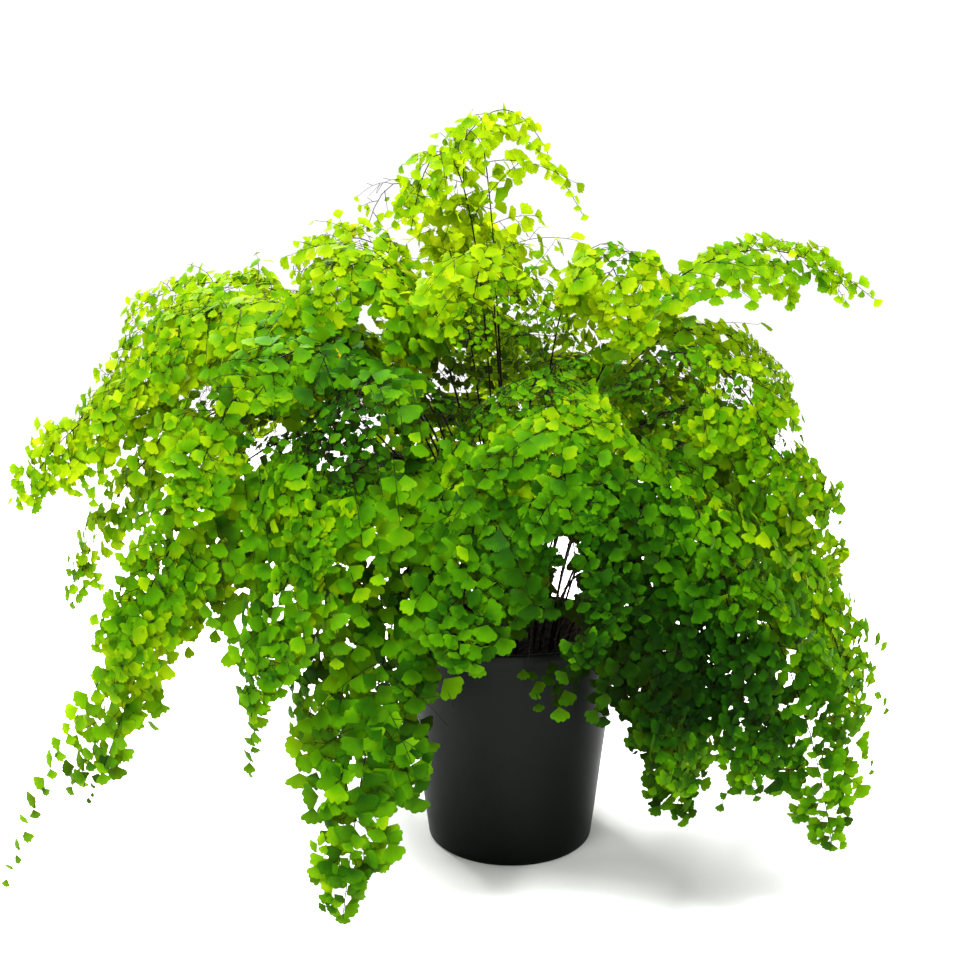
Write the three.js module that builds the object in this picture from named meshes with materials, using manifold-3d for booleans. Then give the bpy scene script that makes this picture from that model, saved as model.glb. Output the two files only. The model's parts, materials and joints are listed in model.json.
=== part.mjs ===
// A maidenhair fern in a smooth plastic pot. Millimetres, +Z up, +X to the right, +Y away from the viewer.
// The origin is the middle of the pot's flat base.
//
// Every frond is one arched piece: a wiry stalk that rises from the soil, and a thin drooping blade whose
// fan-shaped leaflets stand on side ribs. The blade is cut to its ribs, and its two faces are split alike.
import * as THREE from "three";
import { mergeVertices } from "three/addons/utils/BufferGeometryUtils.js";
import Module from "manifold-3d";

const wasm = await Module();
wasm.setup();

// ---- Driving dimensions ----
const POT = {
  rimRadius: 85,
  baseRadius: 64.5,
  height: 170,
  wall: 2.2,
  floor: 3,
  lipWidth: 3.4,
  lipHeight: 6,
};
const FOOT_CHAMFER = 1.5;
const LIP_CHAMFER = 1;
const DRAIN = { count: 6, radius: 5, circle: 38, sides: 8 };
const ROUND_SIDES = 40;
const SEAT_GAP = 0.3;

const SOIL_TOP = 156;
const SOIL_CROWN = 3; // the middle of the soil stands this much above its edge
const SOIL_EDGE_WIDTH = 22;

const STALK_DEPTH = 22; // how deep a stalk stands in its hole
const STALK_HALF = 0.9;
const CLUMP = { inner: 9, outer: 47, uprightCrest: 540, lowCrest: 210 };

const BLADE_HALF_THICKNESS = 0.35;
const RACHIS_HALF = 1.3;
const RIB_HALF = 0.8;
const SIDE_DROOP = 0.007; // a point t mm to the side hangs SIDE_DROOP * t * t lower
const SWAY = 0.1; // a frond leans aside by up to this share of its run
// An arch climbs steeply until this share of its run, and bends down from the next one on.
const ARCH = { climbsTo: 0.1, bendsFrom: 0.8, tipSwaysBack: 0.4 };
const CREST_PASSES = 12; // how often a control height is mended, each time by what the arch's top is off
const CREST_STEP = 0.02;
const SIDE_TWIST = 58; // degrees that the blades on the left and right turn by, from start to tip
const LOOSE_TWIST = 48; // degrees that the front and back blades may turn by, either way
// Blades whose azimuth has a smaller sine turn towards the viewer, the others away.
const FACING_SINE = 0.25;

const LEAFLET_SIZE = 32;
const LEAFLET_BASE = 2.6;
const TIP_SHRINK = 0.2; // the last leaflets are smaller by this share
// Side ribs stand on blades of at least this half width. Each bears a pair of leaflets and one at its end,
// which starts at least endClear of its size beyond the pair.
const SIDE_RIB = {
  first: 5,
  spacing: 67,
  fromTip: 99,
  narrowest: 44,
  angle: 72,
  pairAt: 14,
  pairSpread: 55,
  endClear: 0.57,
};
const SINGLE = { angle: 58, spacing: 37, afterRib: 42, fromTip: 44 };
const TERMINAL_FROM_TIP = 27;

// One row for each frond: azimuth in degrees (0 is right, 90 away, 270 towards the viewer), reach of the
// tip from the pot's axis, height of the crest, height of the tip, the share of the length that is bare
// stalk, and half the width of the blade.
const FRONDS = {
  crown_front: [244, 80, 538, 492, 0.6, 52],
  crown_left: [222, 92, 516, 462, 0.62, 46],
  crown_far_left: [158, 118, 504, 474, 0.7, 40],
  crown_right: [318, 108, 450, 384, 0.56, 54],
  shoulder_left: [174, 160, 462, 432, 0.6, 46],
  shoulder_back: [104, 130, 478, 416, 0.55, 56],
  shoulder_front: [258, 136, 446, 385, 0.52, 60],
  shoulder_left_front: [206, 160, 442, 386, 0.52, 62],
  right_high: [358, 248, 452, 420, 0.5, 50],
  right_upper: [14, 230, 394, 328, 0.48, 56],
  right_middle: [347, 236, 340, 222, 0.45, 60],
  right_outer: [341, 258, 288, 116, 0.45, 54],
  right_inner: [333, 206, 380, 288, 0.48, 58],
  right_low: [321, 262, 270, 68, 0.42, 48],
  right_front: [309, 236, 320, 118, 0.45, 58],
  right_front_low: [309, 178, 228, 72, 0.42, 42],
  right_pot_side: [334, 138, 196, 58, 0.46, 34],
  front_dome: [279, 222, 368, 212, 0.42, 66],
  front_right: [296, 232, 292, 128, 0.43, 60],
  front_left: [262, 228, 320, 210, 0.42, 60],
  front_rim: [274, 160, 238, 188, 0.42, 40],
  front_hanging: [246, 242, 284, 52, 0.42, 46],
  front_left_upper: [236, 226, 368, 258, 0.45, 64],
  front_left_outer: [233, 258, 314, 172, 0.44, 50],
  front_pot_side: [229, 144, 204, 84, 0.46, 34],
  left_front_upper: [218, 258, 386, 286, 0.46, 60],
  left_front: [213, 296, 328, 176, 0.44, 58],
  left_front_low: [224, 196, 234, 118, 0.42, 40],
  left_sweep: [207, 324, 268, 70, 0.42, 36],
  left_low: [195, 292, 284, 108, 0.43, 42],
  left_outer: [184, 330, 342, 192, 0.44, 56],
  left_reach: [187, 358, 364, 270, 0.46, 58],
  left_upper: [194, 276, 412, 342, 0.48, 58],
  left_back_reach: [173, 344, 384, 308, 0.48, 54],
  left_back_top: [167, 318, 430, 400, 0.5, 52],
  back_left: [148, 276, 394, 296, 0.46, 60],
  back_left_low: [137, 258, 290, 118, 0.43, 42],
  back_upper: [94, 210, 410, 318, 0.47, 58],
  back_middle: [110, 232, 334, 150, 0.42, 56],
  back_middle_right: [70, 238, 372, 190, 0.44, 58],
  back_right: [44, 252, 360, 222, 0.45, 60],
  right_back_low: [24, 268, 302, 118, 0.43, 60],
  left_top: [177, 314, 414, 350, 0.5, 42],
};

const STALK_STATIONS = [0, 0.38, 0.72]; // shares of the bare stalk
// A fan-shaped leaflet's outer points: along and across it, as shares of its size.
const FAN = [
  [0.8, -0.55],
  [1.0, 0.04],
  [0.76, 0.56],
];
// A side rib or leaflet that would cross another frond is bent off the blade's surface, by the first of
// these that clears it, and turned a little.
const BENDS = [0, 7, -7, 14, -14, 22, -22];
const TURNS = [0, 14, -14];
const CLEARANCE = 0.5; // what a growth is thicker by when it is tested
const LOWEST = 2; // nothing hangs lower than this above the pot's foot
const HOLE_MOUTH = 2; // a hole's cutter stands out of the soil by this much

const UP = new THREE.Vector3(0, 0, 1);
const rad = THREE.MathUtils.degToRad;

// ---- Solids for cutting and for testing what is clear ----
function solidOf(geometry) {
  const bare = new THREE.BufferGeometry().setAttribute("position", geometry.getAttribute("position"));
  if (geometry.index) bare.setIndex(geometry.index);
  const merged = mergeVertices(bare, 1e-4);
  return new wasm.Manifold(
    new wasm.Mesh({
      numProp: 3,
      vertProperties: merged.attributes.position.array,
      triVerts: new Uint32Array(merged.index.array),
    }),
  );
}

function geometryOf(solid) {
  const mesh = solid.getMesh();
  const geometry = new THREE.BufferGeometry();
  geometry.setAttribute("position", new THREE.BufferAttribute(mesh.vertProperties, 3));
  geometry.setIndex(new THREE.BufferAttribute(mesh.triVerts, 1));
  geometry.computeVertexNormals();
  return geometry;
}

// A lathe turned so that its axis is +Z.
function turned(profile) {
  const points = profile.map(([radius, height]) => new THREE.Vector2(radius, height));
  return new THREE.LatheGeometry(points, ROUND_SIDES).rotateX(Math.PI / 2);
}

// ---- Pot ----
function potRadius(height) {
  return THREE.MathUtils.lerp(POT.baseRadius, POT.rimRadius, height / POT.height);
}

function potGeometry() {
  const { height, wall, floor, lipWidth, lipHeight, rimRadius } = POT;
  const lipFoot = height - lipHeight;
  let pot = solidOf(
    turned([
      [0, 0],
      [POT.baseRadius - FOOT_CHAMFER, 0],
      [potRadius(FOOT_CHAMFER), FOOT_CHAMFER],
      [rimRadius, height - LIP_CHAMFER],
      [rimRadius - LIP_CHAMFER, height],
      [rimRadius - lipWidth, height],
      [rimRadius - lipWidth, lipFoot],
      [potRadius(lipFoot - 1) - wall, lipFoot - 1],
      [potRadius(floor) - wall, floor],
      [0, floor],
    ]),
  );
  for (let i = 0; i < DRAIN.count; i++) {
    const angle = (i / DRAIN.count) * 2 * Math.PI;
    const drain = new THREE.CylinderGeometry(DRAIN.radius, DRAIN.radius, 4 * floor, DRAIN.sides)
      .rotateX(Math.PI / 2)
      .translate(DRAIN.circle * Math.cos(angle), DRAIN.circle * Math.sin(angle), 0);
    pot = pot.subtract(solidOf(drain));
  }
  return geometryOf(pot);
}

// ---- Stalks: where each stands, and the arch that it follows ----
function specOf([azimuth, reach, crest, tip, bare, halfWidth], index) {
  return { index, azimuth: rad(azimuth), reach, crest, tip, bare, halfWidth };
}

// A repeatable draw between -1 and 1.
function draw(index, salt) {
  const value = Math.sin(12.9898 * index + 78.233 * salt) * 43758.5453;
  return 2 * (value - Math.floor(value)) - 1;
}

function rootOf({ azimuth, crest }) {
  const lean = THREE.MathUtils.clamp(
    (CLUMP.uprightCrest - crest) / (CLUMP.uprightCrest - CLUMP.lowCrest),
    0,
    1,
  );
  const radius = THREE.MathUtils.lerp(CLUMP.inner, CLUMP.outer, lean);
  return new THREE.Vector3(radius * Math.cos(azimuth), radius * Math.sin(azimuth), SOIL_TOP);
}

// The height of both middle control points that makes the arch's top lie at the crest.
function controlHeight(start, crest, tip) {
  let height = crest;
  for (let pass = 0; pass < CREST_PASSES; pass++) {
    let top = -Infinity;
    for (let u = 0; u <= 1; u += CREST_STEP) {
      const v = 1 - u;
      top = Math.max(top, v * v * v * start + 3 * u * v * height + u * u * u * tip);
    }
    height += crest - top;
  }
  return height;
}

function archOf(spec) {
  const { azimuth, reach, crest, tip } = spec;
  const root = rootOf(spec);
  const out = new THREE.Vector3(Math.cos(azimuth), Math.sin(azimuth), 0);
  const aside = UP.clone().cross(out);
  const run = reach - Math.hypot(root.x, root.y);
  const sway = SWAY * run * draw(spec.index, 1);
  const height = controlHeight(root.z, crest, tip);
  const at = (share, lean, z) => {
    return root.clone().addScaledVector(out, share * run).addScaledVector(aside, lean * sway).setZ(z);
  };
  return new THREE.CubicBezierCurve3(
    root,
    at(ARCH.climbsTo, 0, height),
    at(ARCH.bendsFrom, 1, height),
    at(1, -ARCH.tipSwaysBack, tip),
  );
}

// ---- A frond's surface: s mm along the arch and t mm to its side ----
function surfaceOf(spec) {
  const arch = archOf(spec);
  const length = arch.getLength();
  const bladeStart = spec.bare * length;
  const [outX, outY] = [Math.cos(spec.azimuth), Math.sin(spec.azimuth)];
  const level = new THREE.Vector3(-outY, outX, 0);
  const facing = outY < FACING_SINE ? 1 : -1;
  const twist = rad(SIDE_TWIST * outX * facing + LOOSE_TWIST * outY * draw(spec.index, 2));
  const at = (s, t, lift = 0) => {
    const u = THREE.MathUtils.clamp(s / length, 0, 1);
    const along = arch.getTangentAt(u);
    const turn = twist * THREE.MathUtils.clamp((s - bladeStart) / (length - bladeStart), 0, 1);
    const side = level.clone().applyAxisAngle(along, turn);
    const across = side.clone().addScaledVector(UP, -2 * SIDE_DROOP * t);
    const normal = along.clone().cross(across).normalize();
    const place = arch
      .getPointAt(u)
      .addScaledVector(along, s - u * length)
      .addScaledVector(side, t)
      .addScaledVector(UP, -SIDE_DROOP * t * t)
      .addScaledVector(normal, lift);
    return { place, normal };
  };
  return { at, length, bladeStart };
}

// ---- A thin plate with two faces that are split alike ----
class Plate {
  constructor() {
    this.positions = [];
    this.triangles = [];
  }

  // A point of the outline, with one vertex on each face.
  point({ place, normal }, half) {
    for (const offset of [half, -half]) {
      const vertex = place.clone().addScaledVector(normal, offset);
      this.positions.push(vertex.x, vertex.y, vertex.z);
    }
    return this.positions.length / 6 - 1;
  }

  face(a, b, c) {
    this.triangles.push(2 * a, 2 * b, 2 * c, 2 * c + 1, 2 * b + 1, 2 * a + 1);
  }

  wall(a, b) {
    this.triangles.push(2 * a, 2 * a + 1, 2 * b + 1, 2 * a, 2 * b + 1, 2 * b);
  }

  // Fills a rib between its right and its left chain of points, each sorted along it. What a point names
  // grows from the edge that leads up to it, and what ends the rib grows from its last edge.
  rib(right, left, end) {
    let [i, j] = [0, 0];
    while (i + 1 < right.length || j + 1 < left.length) {
      const [from, facing] = [right[i].point, left[j].point];
      const rightIsNext = i + 1 < right.length && right[i + 1].along <= left[j + 1]?.along;
      const onRight = j + 1 === left.length || rightIsNext;
      if (onRight) {
        i += 1;
        this.face(from, right[i].point, facing);
        this.growOrWall(right[i].grow, from, right[i].point);
      } else {
        j += 1;
        this.face(from, left[j].point, facing);
        this.growOrWall(left[j].grow, left[j].point, facing);
      }
    }
    this.growOrWall(end, right[i].point, left[j].point);
  }

  growOrWall(grow, a, b) {
    if (grow) grow(a, b);
    else this.wall(a, b);
  }

  geometry() {
    const geometry = new THREE.BufferGeometry();
    geometry.setAttribute("position", new THREE.Float32BufferAttribute(this.positions, 3));
    geometry.setIndex(this.triangles);
    geometry.computeVertexNormals();
    return geometry;
  }
}

// A direction in the blade's plan, seen from a base point: along and across it to s and t.
function planFrom(base, angle) {
  const turn = rad(angle);
  return (along, across) => ({
    s: base.s + along * Math.cos(turn) - across * Math.sin(turn),
    t: base.t + along * Math.sin(turn) + across * Math.cos(turn),
  });
}

function growLeaflet(plate, surface, base, angle, size, lift, half) {
  const plan = planFrom(base, angle);
  return (a, b) => {
    const [p, q, r] = FAN.map(([along, across]) => {
      const { s, t } = plan(along * size, across * size);
      return plate.point(surface.at(s, t, lift(s, t)), half);
    });
    plate.face(a, p, q);
    plate.face(a, q, b);
    plate.face(q, r, b);
    const outline = [a, p, q, r, b];
    for (let i = 1; i < outline.length; i++) plate.wall(outline[i - 1], outline[i]);
  };
}

// A side rib with a pair of leaflets and one at its end.
function growSideRib(plate, surface, base, angle, reach, size, lift, half) {
  const plan = planFrom(base, angle);
  const pairAt = (SIDE_RIB.pairAt * size) / LEAFLET_SIZE;
  const ribLength = Math.max(reach - size, pairAt + SIDE_RIB.endClear * size);
  const mark = (along, across, grow) => {
    const { s, t } = plan(along, across);
    return { along, point: plate.point(surface.at(s, t, lift(s, t)), half), grow };
  };
  const leafletFrom = (along, across, turn) =>
    growLeaflet(plate, surface, plan(along, across), angle + turn, size, lift, half);
  return (a, b) => {
    const chain = (from, side) => [
      { along: 0, point: from },
      mark(pairAt, side * RIB_HALF),
      mark(
        pairAt + LEAFLET_BASE,
        side * RIB_HALF,
        leafletFrom(pairAt + LEAFLET_BASE / 2, side * RIB_HALF, side * SIDE_RIB.pairSpread),
      ),
      mark(ribLength, side * RIB_HALF),
    ];
    plate.rib(chain(a, -1), chain(b, 1), leafletFrom(ribLength, 0, 0));
  };
}

// ---- One frond ----
class Frond {
  constructor(name, spec) {
    this.name = name;
    this.surface = surfaceOf(spec);
    this.bladeStart = this.surface.bladeStart;
    this.bladeLength = this.surface.length - this.bladeStart;
    this.halfWidth = spec.halfWidth;
    const terminal = this.growth(0, this.terminalAt(), false);
    this.growths = [...this.sideGrowths(-1), ...this.sideGrowths(1), terminal];
  }

  terminalAt() {
    return this.bladeLength - TERMINAL_FROM_TIP;
  }

  growth(side, start, ribbed) {
    const share = start / this.bladeLength;
    const size = LEAFLET_SIZE * (1 - TIP_SHRINK * share);
    const reach = this.halfWidth * (1 - TIP_SHRINK * share);
    return { side, start, ribbed, size, reach, bend: 0, turn: 0 };
  }

  // Side ribs first, then single leaflets up to near the tip.
  sideGrowths(side) {
    const lastRib = this.halfWidth < SIDE_RIB.narrowest ? 0 : this.bladeLength - SIDE_RIB.fromTip;
    const growths = [];
    let start = SIDE_RIB.first;
    while (start <= this.bladeLength - SINGLE.fromTip) {
      const ribbed = start <= lastRib;
      growths.push(this.growth(side, start, ribbed));
      if (!ribbed) start += SINGLE.spacing;
      else start += start + SIDE_RIB.spacing <= lastRib ? SIDE_RIB.spacing : SINGLE.afterRib;
    }
    return growths;
  }

  // The function that grows one side rib or leaflet from an edge of the plate.
  grow(plate, growth, half) {
    const { side, start, ribbed, size, reach, bend, turn } = growth;
    const base = { s: this.bladeStart + start + (side ? LEAFLET_BASE / 2 : 0), t: side * RACHIS_HALF };
    const lift = (s, t) => bend * (Math.hypot(s - base.s, t - base.t) / this.halfWidth) ** 2;
    const angle = side * ((ribbed ? SIDE_RIB.angle : SINGLE.angle) + turn);
    if (ribbed) return growSideRib(plate, this.surface, base, angle, reach, size, lift, half);
    return growLeaflet(plate, this.surface, base, angle, size, lift, half);
  }

  mark(plate, s, t, half) {
    return plate.point(this.surface.at(s, t), half);
  }

  // The edge of the rachis that a growth stands on, its right end first.
  footing({ side, start }) {
    const s = this.bladeStart + start;
    if (side === 0) return [[s, -RACHIS_HALF], [s, RACHIS_HALF]];
    const edge = [[s, side * RACHIS_HALF], [s + LEAFLET_BASE, side * RACHIS_HALF]];
    return side < 0 ? edge : edge.reverse();
  }

  // A growth by itself, thicker by the clearance, to test what it would cross.
  probe(growth) {
    const plate = new Plate();
    const half = BLADE_HALF_THICKNESS + CLEARANCE;
    const [a, b] = this.footing(growth).map(([s, t]) => this.mark(plate, s, t, half));
    this.grow(plate, growth, half)(a, b);
    plate.wall(b, a);
    return solidOf(plate.geometry());
  }

  // The frond as one plate: its stalk, its rachis and, unless it is wanted bare, all that it bears.
  build(bare = false, extra = 0) {
    const plate = new Plate();
    const half = BLADE_HALF_THICKNESS + extra;
    const grow = (growth) => (bare || growth.leftOff ? null : this.grow(plate, growth, half));
    const chain = (side) => {
      const stations = STALK_STATIONS.map((share) => share * this.bladeStart);
      const stalk = [-STALK_DEPTH, ...stations].map((along) => {
        return { along, point: this.mark(plate, along, side * (STALK_HALF + extra), STALK_HALF + extra) };
      });
      const onRachis = (along, growth) => {
        const point = this.mark(plate, along, side * (RACHIS_HALF + extra), half);
        return { along, point, grow: growth ? grow(growth) : null };
      };
      const borne = this.growths.filter((growth) => growth.side === side);
      const feet = borne.flatMap((growth) => {
        const along = this.bladeStart + growth.start;
        return [onRachis(along, null), onRachis(along + LEAFLET_BASE, growth)];
      });
      return [...stalk, ...feet, onRachis(this.bladeStart + this.terminalAt(), null)];
    };
    const [right, left] = [chain(-1), chain(1)];
    plate.wall(left[0].point, right[0].point);
    plate.rib(right, left, grow(this.growths.at(-1)));
    return plate.geometry();
  }
}

// ---- Soil, with a plain hole for each stalk ----
function soilGeometry(fronds) {
  const foot = POT.floor + SEAT_GAP;
  const edge = (height) => potRadius(height) - POT.wall - SEAT_GAP;
  let soil = solidOf(
    turned([
      [0, foot],
      [edge(foot), foot],
      [edge(SOIL_TOP - SOIL_CROWN), SOIL_TOP - SOIL_CROWN],
      [edge(SOIL_TOP) - SOIL_EDGE_WIDTH, SOIL_TOP],
      [0, SOIL_TOP],
    ]),
  );
  for (const frond of fronds) soil = soil.subtract(holeFor(frond));
  return geometryOf(soil);
}

function holeFor(frond) {
  const plate = new Plate();
  const half = STALK_HALF + SEAT_GAP;
  const chain = (side) =>
    [-STALK_DEPTH - SEAT_GAP, HOLE_MOUTH].map((along) => {
      return { along, point: frond.mark(plate, along, side * half, half) };
    });
  const [right, left] = [chain(-1), chain(1)];
  plate.wall(left[0].point, right[0].point);
  plate.rib(right, left, null);
  return solidOf(plate.geometry());
}

// ---- Growing: all stalks first, then each side rib and leaflet where it is clear of everything else ----
const boxesMeet = (a, b) => [0, 1, 2].every((i) => a.min[i] <= b.max[i] && b.min[i] <= a.max[i]);

function placed(solid, stalkOf = null) {
  return { solid, stalkOf, box: solid.boundingBox() };
}

function isClear(probe, frond, others) {
  const box = probe.boundingBox();
  if (box.min[2] < LOWEST) return false;
  const crosses = (other) => boxesMeet(box, other.box) && !probe.intersect(other.solid).isEmpty();
  return !others.some((other) => other.stalkOf !== frond && crosses(other));
}

function settle(frond, growth, others) {
  for (const turn of TURNS) {
    for (const bend of BENDS) {
      Object.assign(growth, { turn, bend });
      const probe = frond.probe(growth);
      if (!isClear(probe, frond, others)) continue;
      others.push(placed(probe));
      return;
    }
  }
  growth.leftOff = true;
}

// ---- The whole plant ----
const fronds = Object.entries(FRONDS).map(([name, row], index) => new Frond(name, specOf(row, index)));
const potShape = potGeometry();
const soilShape = soilGeometry(fronds);
const standing = [placed(solidOf(potShape)), placed(solidOf(soilShape))];
for (const frond of fronds) standing.push(placed(solidOf(frond.build(true, CLEARANCE / 2)), frond));
for (const frond of fronds) {
  for (const growth of frond.growths) settle(frond, growth, standing);
}

function finish(name, color, roughness) {
  return new THREE.MeshStandardMaterial({ name, color, roughness });
}

const potPlastic = finish("pot_plastic", 0x26282a, 0.45);
const pottingSoil = finish("potting_soil", 0x2a1d14, 0.95);
const fernGreen = finish("fern_green", 0x5f9a1c, 0.6);

function named(name, geometry, material) {
  const mesh = new THREE.Mesh(geometry, material);
  mesh.name = name;
  return mesh;
}

const plant = new THREE.Group();
plant.name = "potted_fern";
plant.add(named("pot", potShape, potPlastic));
plant.add(named("soil", soilShape, pottingSoil));
for (const frond of fronds) plant.add(named("frond_" + frond.name, frond.build(), fernGreen));

export default plant;
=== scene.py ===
# %% [markdown]
# # A maidenhair fern in a plastic pot
# This lesson dresses a plain model of a potted fern. The plain model has the pot, the soil and 43
# fronds as coarse solids. We keep its places and arches, and grow the fine parts on them: wiry
# black stalks, side branches, and thousands of small fan-shaped leaflets. Blender counts in metres.
# The growing rules count in millimetres, because a leaflet is easier to think of as 12 mm than as
# 0.012 m.

# %% Load the frame
import json
import math

import bpy
import numpy as np
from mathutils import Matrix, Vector

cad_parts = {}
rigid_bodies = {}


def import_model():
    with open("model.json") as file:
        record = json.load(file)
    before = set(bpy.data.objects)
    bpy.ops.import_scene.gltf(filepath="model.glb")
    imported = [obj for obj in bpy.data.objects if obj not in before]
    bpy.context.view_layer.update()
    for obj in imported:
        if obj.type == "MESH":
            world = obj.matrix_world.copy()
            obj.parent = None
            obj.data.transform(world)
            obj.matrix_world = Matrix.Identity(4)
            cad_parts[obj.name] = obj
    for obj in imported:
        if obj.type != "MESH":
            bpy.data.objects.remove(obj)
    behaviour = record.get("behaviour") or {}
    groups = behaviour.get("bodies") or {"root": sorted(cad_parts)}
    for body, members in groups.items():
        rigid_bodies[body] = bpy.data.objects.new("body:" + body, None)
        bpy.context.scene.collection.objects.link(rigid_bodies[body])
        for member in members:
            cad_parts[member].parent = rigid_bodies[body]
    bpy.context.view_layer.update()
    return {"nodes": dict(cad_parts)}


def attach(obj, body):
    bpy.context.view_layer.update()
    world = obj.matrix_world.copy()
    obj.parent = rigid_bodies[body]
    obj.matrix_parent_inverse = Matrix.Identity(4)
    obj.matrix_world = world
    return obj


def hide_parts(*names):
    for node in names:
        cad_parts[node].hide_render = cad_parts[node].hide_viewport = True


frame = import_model()
scene = bpy.context.scene
print("nodes in the frame:", len(frame["nodes"]))

# %% [markdown]
# ## The camera
# The photograph looks slightly down at the plant from about 0.8 m away and 0.4 m up. A camera looks
# along its own -Z axis, so turning it by 90 degrees points it at the horizon, and turning it by
# less points it below.

# %% Camera
CAMERA_PLACE = (-0.0158, -0.819, 0.412)
CAMERA_PITCH = 9.6  # degrees below the horizon
SENSOR_WIDTH = 36  # millimetres
LENS = 40.1  # millimetres

camera = bpy.data.objects.new("camera", bpy.data.cameras.new("camera"))
camera.location = CAMERA_PLACE
camera.rotation_euler = (math.radians(90 - CAMERA_PITCH), 0, 0)
camera.data.sensor_width = SENSOR_WIDTH
camera.data.lens = LENS
scene.collection.objects.link(camera)
scene.camera = camera
print("camera lens:", camera.data.lens)

# %% [markdown]
# ## Writing materials as sums
# A shader tree is a drawing of arithmetic. Adding a Math node by hand for each plus and minus hides
# the idea, so this small class wraps an output socket and lets Python's own operators add the Math
# nodes.

# %% A socket that can be added and multiplied
class Value:
    """An output socket whose arithmetic adds Math nodes to its tree."""

    def __init__(self, finish, socket):
        self.finish = finish
        self.socket = socket

    def math(self, operation, first, second):
        return self.finish.node("ShaderNodeMath", {"operation": operation}, {0: first, 1: second})

    def __add__(self, other):
        return self.math("ADD", self, other)

    __radd__ = __add__

    def __mul__(self, other):
        return self.math("MULTIPLY", self, other)

    __rmul__ = __mul__

    def __sub__(self, other):
        return self.math("SUBTRACT", self, other)

    def __rsub__(self, other):
        return self.math("SUBTRACT", other, self)

    def __pow__(self, other):
        return self.math("POWER", self, other)

    def __rpow__(self, other):
        return self.math("POWER", other, self)


# %% [markdown]
# Every other node comes from one method, which sets the node's settings first and then its sockets.
# The short methods after it make the kinds of node that several materials here share.

# %% A material while it is made
def colour(red, green, blue):
    """A colour as a socket takes it, with a fourth number."""
    return (red, green, blue, 1)


class Finish:
    """A material, its nodes, and the one method that adds a node."""

    def __init__(self, name):
        self.material = bpy.data.materials.new(name)
        self.material.use_nodes = True
        self.tree = self.material.node_tree
        self.tree.nodes.clear()

    def node(self, kind, settings=(), sockets=(), output=None):
        node = self.tree.nodes.new(kind)
        for name, value in dict(settings).items():
            if name == "stops":
                self.set_stops(node.color_ramp, value)
            else:
                setattr(node, name, value)
        for name, value in dict(sockets).items():
            self.feed(self.pick(node.inputs, name), value)
        return Value(self, self.pick(node.outputs, output))

    def pick(self, sockets, name):
        usable = [socket for socket in sockets if socket.enabled]
        if name is None:
            return usable[0]
        if isinstance(name, int):
            return usable[name]
        return next(socket for socket in usable if socket.name == name)

    def feed(self, socket, value):
        if isinstance(value, Value):
            self.tree.links.new(value.socket, socket)
        else:
            socket.default_value = value

    def set_stops(self, ramp, stops):
        while len(ramp.elements) < len(stops):
            ramp.elements.new(0.5)
        for element, (place, shade) in zip(ramp.elements, stops):
            element.position = place
            element.color = colour(*shade)

    def mix(self, factor, first, second):
        sockets = {"Factor": factor, "A": first, "B": second}
        return self.node("ShaderNodeMix", {"data_type": "RGBA"}, sockets)

    def ramp(self, factor, stops):
        return self.node("ShaderNodeValToRGB", {"stops": stops}, {"Fac": factor})

    def noise(self, scale, detail=3.0):
        place = self.node("ShaderNodeTexCoord", output="Object")
        sockets = {"Vector": place, "Scale": scale, "Detail": detail}
        return self.node("ShaderNodeTexNoise", {}, sockets)

    def bump(self, height, strength, distance):
        sockets = {"Strength": strength, "Distance": distance, "Height": height}
        return self.node("ShaderNodeBump", {}, sockets)

    def surface(self, sockets):
        return self.node("ShaderNodeBsdfPrincipled", {}, sockets)

    def finish(self, shader):
        end = self.tree.nodes.new("ShaderNodeOutputMaterial")
        self.tree.links.new(shader.socket, end.inputs["Surface"])
        print("finish:", self.material.name, "with", len(self.tree.nodes), "nodes")
        return self.material


# %% [markdown]
# ## The pot's plastic
# The pot is moulded in one piece from charcoal plastic with a soft satin skin. Such a skin isn't
# one flat colour: handling leaves faint cloudy patches, and dust settles below the rim. A wide
# noise varies the colour and the roughness, a fine one gives the grain, and the height moves the
# dust.

# %% Pot plastic
MM = 0.001  # a millimetre in Blender's metres
POT_HEIGHT = 170.0
FINE_GRAIN = 900.0  # noise scale: a grain about 1 mm wide
POT_CLOUDS = 9.0  # noise scale: patches about 110 mm wide
POT_BARE = colour(0.0012, 0.0019, 0.0014)
POT_DUSTY = colour(0.0046, 0.0062, 0.0048)


def make_pot_plastic():
    finish = Finish("pot_plastic")
    clouds = finish.noise(POT_CLOUDS)
    grain = finish.noise(FINE_GRAIN, 2.0)
    place = finish.node("ShaderNodeTexCoord", output="Object")
    height = finish.node("ShaderNodeSeparateXYZ", {}, {"Vector": place}, "Z")
    span = {"Value": height, "From Min": 0.0, "From Max": POT_HEIGHT * MM}
    upward = finish.node("ShaderNodeMapRange", {}, span)
    dust = (upward * 0.35 + clouds * 0.5) * 0.9
    sockets = {
        "Base Color": finish.mix(dust, POT_BARE, POT_DUSTY),
        "Roughness": clouds * 0.16 + 0.32,
        "Specular IOR Level": 0.04,
        "Normal": finish.bump(grain, 0.12, 0.0006),
    }
    return finish.finish(finish.surface(sockets))


pot_plastic = make_pot_plastic()

# %% [markdown]
# ## The potting soil
# Moist peat is nearly black, with browner fibres and crumbs. The crumbs are real geometry further
# down.

# %% Potting soil
SOIL_PATCHES = 70.0  # noise scale: patches about 14 mm wide
SOIL_BROWNS = [
    (0.30, (0.0004, 0.0003, 0.0002)),
    (0.52, (0.0015, 0.0010, 0.0008)),
    (0.72, (0.008, 0.005, 0.003)),
]


def make_potting_soil():
    finish = Finish("potting_soil")
    patches = finish.noise(SOIL_PATCHES)
    grain = finish.noise(FINE_GRAIN, 6.0)
    sockets = {
        "Base Color": finish.ramp(patches * 0.7 + grain * 0.3, SOIL_BROWNS),
        "Roughness": grain * 0.2 + 0.75,
        "Specular IOR Level": 0.04,
        "Normal": finish.bump(grain, 0.6, 0.002),
    }
    return finish.finish(finish.surface(sockets))


potting_soil = make_potting_soil()

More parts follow.
